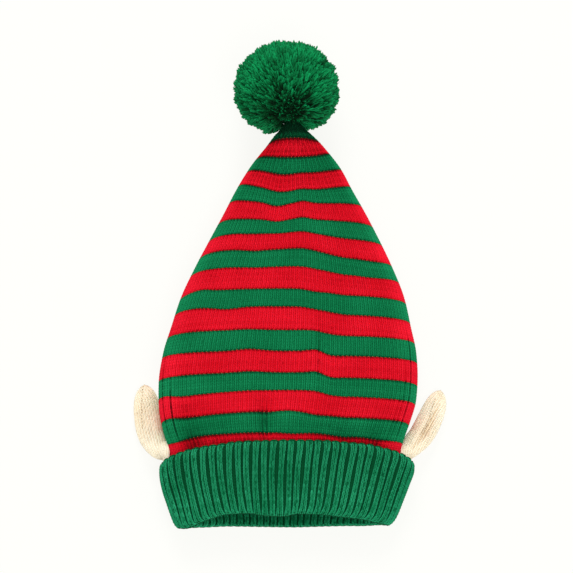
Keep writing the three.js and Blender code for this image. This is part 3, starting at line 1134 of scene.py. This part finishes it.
def stuffed(wall):
    """A wall after stuffing, blown up as cloth from its sewn shape with its tucked-in end held."""
    scene = bpy.context.scene
    rows, columns = wall.places.shape[:2]

    def spot(rounds, alongs):
        row = np.rint(alongs * (rows - 1)).astype(int)
        return row, np.rint(rounds * columns).astype(int) % columns

    mesh = rolled_grid(
        "stuffing", columns, rows - 1, lambda rounds, alongs: wall.places[spot(rounds, alongs)],
        {
            "row": lambda rounds, alongs: spot(rounds, alongs)[0],
            "column": lambda rounds, alongs: spot(rounds, alongs)[1],
        },
    )
    spots = []
    for key in ("row", "column"):
        values = np.zeros(len(mesh.vertices), np.float32)
        mesh.attributes[key].data.foreach_get("value", values)
        spots.append(np.rint(values).astype(int))
    piece = bpy.data.objects.new("stuffing", mesh)
    scene.collection.objects.link(piece)
    held = piece.vertex_groups.new(name="held")
    held.add(np.flatnonzero(wall.alongs[spots[0]] < HELD).tolist(), 1.0, "REPLACE")
    cloth = piece.modifiers.new("cloth", "CLOTH")
    cloth.settings.mass = STITCH_MASS
    cloth.settings.vertex_group_mass = "held"
    cloth.settings.use_pressure = True
    cloth.settings.uniform_pressure_force = STUFFING_PRESSURE
    cloth.settings.effector_weights.gravity = 0
    cloth.point_cache.frame_end = STUFFING_FRAMES
    for frame_number in range(1, STUFFING_FRAMES + 1):
        scene.frame_set(frame_number)
    settled = piece.evaluated_get(bpy.context.evaluated_depsgraph_get()).to_mesh()
    places = np.zeros(len(settled.vertices) * 3, np.float32)
    settled.vertices.foreach_get("co", places)
    moved = places.reshape(-1, 3) / MM - wall.places[tuple(spots)]
    far = np.linalg.norm(moved, axis=1, keepdims=True)
    filled = wall.places.copy()
    filled[tuple(spots)] += moved * np.minimum(1, STUFFING_CAP / np.maximum(far, 1e-6))
    scene.frame_set(1)
    bpy.data.objects.remove(piece)
    bpy.data.meshes.remove(mesh)
    full = Wall(wall.alongs, filled)
    full.hollows = wall.hollows
    return full


def ear_seam(row, wall):
    """A row of sewing stitches along the upper face of an ear."""
    seam = row["seam"]
    share = np.linspace(0, 1, seam["stitches"])
    along = seam["from"] + (seam["to"] - seam["from"]) * share
    side = row["outer"] * (seam["start"] + (seam["end"] - seam["start"]) * share)
    upper = 0.5 * np.arccos(side) / np.pi
    ends = []
    for shift in (-0.5, 0.5):
        spots = along + shift * SEAM_STITCH
        ends.append(wall.place(upper, spots) + SEAM_LIFT * wall.out(upper, spots))
    foot, head = ends
    name = row["name"] + "_seam"
    width, height = (np.full(len(along), size) for size in (SEAM_WIDE, SEAM_HIGH))
    rings = leg_rings(foot, head, wall.out(upper, along), width, height)
    mesh = joined_grains(name, foot, rings, head, np.full((len(along), 2), SEAM_TONE))
    add_piece(name, mesh, seam_yarn)


def ear(row):
    wall = stuffed(ear_table(row))
    last = wall.alongs[-1]
    inner_edge = 0.0 if row["outer"] < 0 else 0.5  # the wales run along the edge near the crown

    def on_ear(rounds, along, lift):
        along = np.broadcast_to(np.asarray(along, float), rounds.shape)
        return wall.place(rounds, along) + lift * wall.out(rounds, along)

    def backing_place(rounds, alongs):
        sunk = EAR_STITCH_HIGH * smooth(alongs, 1, EAR_CLOSING)[:, None]
        places = on_ear(rounds, alongs * last, -sunk)
        for end, along in ((0, 0.0), (1, last)):
            ring = wall.place(np.arange(EAR_COLUMNS) / EAR_COLUMNS, np.full(EAR_COLUMNS, along))
            places[np.isclose(alongs, end)] = ring.mean(axis=0)
        return places

    name = row["name"]
    backing = rolled_grid(
        name, *EAR_BACKING, backing_place,
        {
            "course": lambda rounds, alongs: alongs * last / EAR_COURSE,
            "wale": lambda rounds, alongs: rounds * EAR_BACKING_WALES,
        },
    )
    piece = add_piece(name + "_padding", backing, ear_backing, [name])
    stitches = FineStitches()
    for course in range(int(last / EAR_COURSE)):
        at = min((course + EAR_TONE_AT) * EAR_COURSE, last)
        length = wall.length_round(at)
        half_count = math.ceil(length / EAR_WALE / 2)
        wale = EAR_WALE / length
        each_way = (np.arange(half_count) + 0.5) * wale
        rounds = inner_edge + np.concatenate((each_way, -each_way))
        base = rng.normal(0, EAR_COURSE_UNEVEN)

        def tone(places_round, at=at, base=base):
            hollow = wall.look_up(wall.hollows, places_round, np.full(places_round.shape, at))
            # painted shade in the ear's hollow
            return base - EAR_HOLLOW_SHADE * hollow[..., 0]

        stitches.knit(
            lambda r, c: on_ear(r, np.clip(c * EAR_COURSE, 0, last), -EAR_STITCH_HIGH),
            lambda r, c: wall.out(r, np.full(r.shape, min(c * EAR_COURSE, last))),
            rounds, course, wale, EAR_WALE, EAR_STITCH_HIGH, tone,
        )
    add_piece(name + "_stitches", stitches.mesh(name + "_stitches"), ear_yarn)
    ear_seam(row, wall)


# The pompom

POMPOM_SEED = 14
STRANDS = 5600
FUZZ = 2400
# A strand of yarn from its hidden root to its cut end: how far along it, how thick and how dark it
# is painted, as painted shade that deepens towards the root.
STRAND = [(0.1, 0.7, -4.8), (0.52, 1.0, -2.4), (0.95, 0.95, 1.2)]
ROOT_SHARE = 0.4  # where a strand's root lies on the way from the tie to its end
STRAND_UNEVEN = 0.15  # how much the strands' widths differ, as a share
STRAND_TONE = 0.8  # how much the tones of strands and of tufts differ
TUFT_TONE = 0.85
TUFT_REACH = 0.018
WAY_UNEVEN = 1.1  # how far the strands stray from an even spacing
SWAY = 2.5  # how much further a strand bows than its end strays
TUFTS = 800  # the yarn's cut ends lean together in so many tufts
TIE = (1, -28, 20)  # where the yarn is tied together, from the ball's middle
CORE_SHARE = 0.62
# the core is painted near black, as painted shade deep inside the ball
CORE_SHADE = -5.0
CORE_UNEVEN = 0.012
UNDER_SHARE = 0.93  # the ball is flatter on the side of the neck
NECK_CLEAR = 14.0  # degrees round the neck that no yarn end lies in
NECK_PART = 0.34  # how much shorter the ends stand where they part round the neck
NECK_SIDE = 0.1  # where the neck lies across the ball, and how wide the ends part, in its radii
NECK_WIDE = 0.25
NECK_FADE = 0.1
PART_UNDER = (-0.35, -0.6)  # between which places along and up the ball the ends come to part
PART_LOW = (0.3, 0.05)
SIDE_LOBES = 0.04  # how much further the ends reach either side of the neck
LOBE_SIDE = (0.3, 0.55)  # between which places across and along the ball they come to reach it
LOBE_UNDER = (-0.1, -0.5)
HOLLOW_WAY = (0.05, -0.68, 0.73)  # where the ends stand open round the tie, and are painted darker as painted shade
HOLLOW_WIDE = 37.0
HOLLOW_DEEP = 0.05
# how much darker the open ends are painted, as painted shade
HOLLOW_DARK = 3.0


def evened_ways(chance, count):
    """Directions that cover a ball evenly but not regularly, and stay clear of the neck."""
    k = np.arange(count) + 0.5
    low = -math.cos(math.radians(NECK_CLEAR))
    height = 1 - (1 - low) * k / count
    turn = k * np.pi * (3 - math.sqrt(5))
    flat = np.sqrt(1 - height ** 2)
    even = np.stack((flat * np.cos(turn), height, flat * np.sin(turn)), axis=-1)
    return unit(even + chance.normal(0, WAY_UNEVEN / math.sqrt(count), even.shape))


def pompom():
    chance = np.random.default_rng(POMPOM_SEED)
    centre = np.array([POMPOM["x"], MOUTH_Y + POMPOM["at"], POMPOM["z"]])
    radii = np.array(POMPOM["radii"])
    tie = centre + TIE
    shape = bmesh.new()
    bmesh.ops.create_icosphere(shape, subdivisions=4, radius=CORE_SHARE)
    tone = shape.verts.layers.float.new("tone")
    for corner in shape.verts:
        corner[tone] = CORE_SHADE
        reach = 1 + chance.normal(0, CORE_UNEVEN)
        corner.co = (Vector(centre) + corner.co * Vector(radii) * reach) * MM
    for face in shape.faces:
        face.smooth = True
    core = bpy.data.meshes.new("pompom_core")
    shape.to_mesh(core)
    shape.free()
    add_piece("pompom_core", core, pompom_yarn, ["pompom"])
    tufts = evened_ways(chance, TUFTS)
    tuft_reach = chance.normal(0, TUFT_REACH, TUFTS)
    tuft_tone = chance.normal(0, TUFT_TONE, TUFTS)

    def strands(name, count, thick, reach, spread, bend, together):
        way = evened_ways(chance, count)
        nearest = np.argmax(way @ tufts.T, axis=1)
        way = unit(way * (1 - together) + tufts[nearest] * together)
        from_neck = np.abs(way[:, 0] - NECK_SIDE)
        beside_neck = smooth(from_neck, NECK_WIDE + NECK_FADE, NECK_WIDE)
        lobe = SIDE_LOBES * smooth(from_neck, *LOBE_SIDE) * smooth(way[:, 1], *LOBE_UNDER)
        parted = NECK_PART * beside_neck * smooth(way[:, 1], *PART_UNDER)
        parted = parted * smooth(way[:, 2], *PART_LOW)
        from_hollow = np.degrees(np.arccos(np.clip(way @ unit(np.array(HOLLOW_WAY)), -1, 1)))
        open_here = np.exp(-((from_hollow / HOLLOW_WIDE) ** 2))
        length = reach + tuft_reach[nearest] + chance.normal(0, spread, count)
        length = length + lobe - parted - HOLLOW_DEEP * open_here
        reached = way * radii * length[:, None]
        reached[:, 1] *= np.where(way[:, 1] < 0, UNDER_SHARE, 1)
        end = centre + reached + chance.normal(0, bend, way.shape)
        start = tie + (end - tie) * ROOT_SHARE
        ahead = unit(end - start)
        sway = chance.normal(0, SWAY * bend, end.shape)
        side = unit(np.cross(ahead, chance.normal(0, 1, way.shape)))
        beside = np.cross(ahead, side)
        width = thick * (1 + chance.normal(0, STRAND_UNEVEN, count))
        # painted shade where the ends stand open round the tie
        base = tuft_tone[nearest] + chance.normal(0, STRAND_TONE, count) - HOLLOW_DARK * open_here
        rings, tones = [], []
        for share, plump, shade in STRAND:
            middle = start + (end - start) * share + sway * 4 * share * (1 - share)
            corners = []
            for third in range(3):
                turn = third * 2 * np.pi / 3
                out = side * np.cos(turn) + beside * np.sin(turn)
                corners.append(middle + out * (width * plump / 2)[:, None])
            rings.append(np.stack(corners, axis=1))
            tones.append(base + shade)
        mesh = joined_grains(name, start, np.stack(rings, axis=1), end, np.stack(tones, axis=-1))
        add_piece(name, mesh, pompom_yarn)

    strands(
        "pompom_yarn_ends", STRANDS, thick=2.3, reach=0.997, spread=0.012, bend=0.65, together=0.25
    )
    strands("pompom_fuzz", FUZZ, thick=0.8, reach=0.99, spread=0.012, bend=0.8, together=0.3)


# The floor, the light and the camera

FLOOR_HALF = 4.0  # half the floor's width, in metres
FLOOR_GLOW = 0.885  # the floor's own light, which keeps it nearly white
SKY_LIGHT = 0.6
LAMPS = table(
    "name place size power",
    ("top_softbox", (-0.1, 1.1, 1.35), 0.9, 13),
    ("front_softbox", (0.25, -0.8, 1.5), 1.0, 12),
)


def floor():
    finish = Finish("pale_floor")
    finish.shade(
        Base_Color=(0.1, 0.1, 0.098, 1), Roughness=0.9, Specular_IOR_Level=0.0,
        Emission_Color=(1, 1, 0.965, 1), Emission_Strength=FLOOR_GLOW,
    )
    shape = bmesh.new()
    bmesh.ops.create_grid(shape, x_segments=1, y_segments=1, size=FLOOR_HALF)
    mesh = bpy.data.meshes.new("floor")
    shape.to_mesh(mesh)
    shape.free()
    mesh.materials.append(finish.material)
    ground = bpy.data.objects.new("floor", mesh)
    bpy.context.scene.collection.objects.link(ground)


def lamp(name, place, size, power):
    """A round soft lamp that shines on the hat."""
    light = bpy.data.lights.new(name, "AREA")
    light.shape, light.size, light.energy = "DISK", size, power
    holder = bpy.data.objects.new(name, light)
    holder.location = place
    holder.rotation_euler = (-Vector(place)).to_track_quat("-Z", "Y").to_euler()
    bpy.context.scene.collection.objects.link(holder)


def studio():
    scene = bpy.context.scene
    scene.view_settings.view_transform = "Standard"
    world = bpy.data.worlds.new("studio")
    world.use_nodes = True
    sky = world.node_tree.nodes["Background"]
    sky.inputs["Color"].default_value = (1, 1, 1, 1)
    sky.inputs["Strength"].default_value = SKY_LIGHT
    scene.world = world
    for row in LAMPS:
        lamp(**row)


TILT = math.radians(17)  # how far the camera leans towards the mouth
DISTANCE = 1.7
AIM = Vector((-0.0029, 0.00045, 0))
SENSOR = 36.0
MM_PER_PIXEL = 0.875  # where the camera is aimed
PIXELS = 573  # the photo's width


def camera():
    view = bpy.data.cameras.new("camera")
    view.sensor_width = SENSOR
    view.lens = SENSOR * DISTANCE / MM / (MM_PER_PIXEL * PIXELS)
    holder = bpy.data.objects.new("camera", view)
    back = Vector((0, -math.sin(TILT), math.cos(TILT)))
    holder.location = AIM + back * DISTANCE
    holder.rotation_euler = back.to_track_quat("Z", "Y").to_euler()
    bpy.context.scene.collection.objects.link(holder)
    bpy.context.scene.camera = holder


crown()
brim()
for row in EARS:
    ear(row)
pompom()
floor()
studio()
camera()
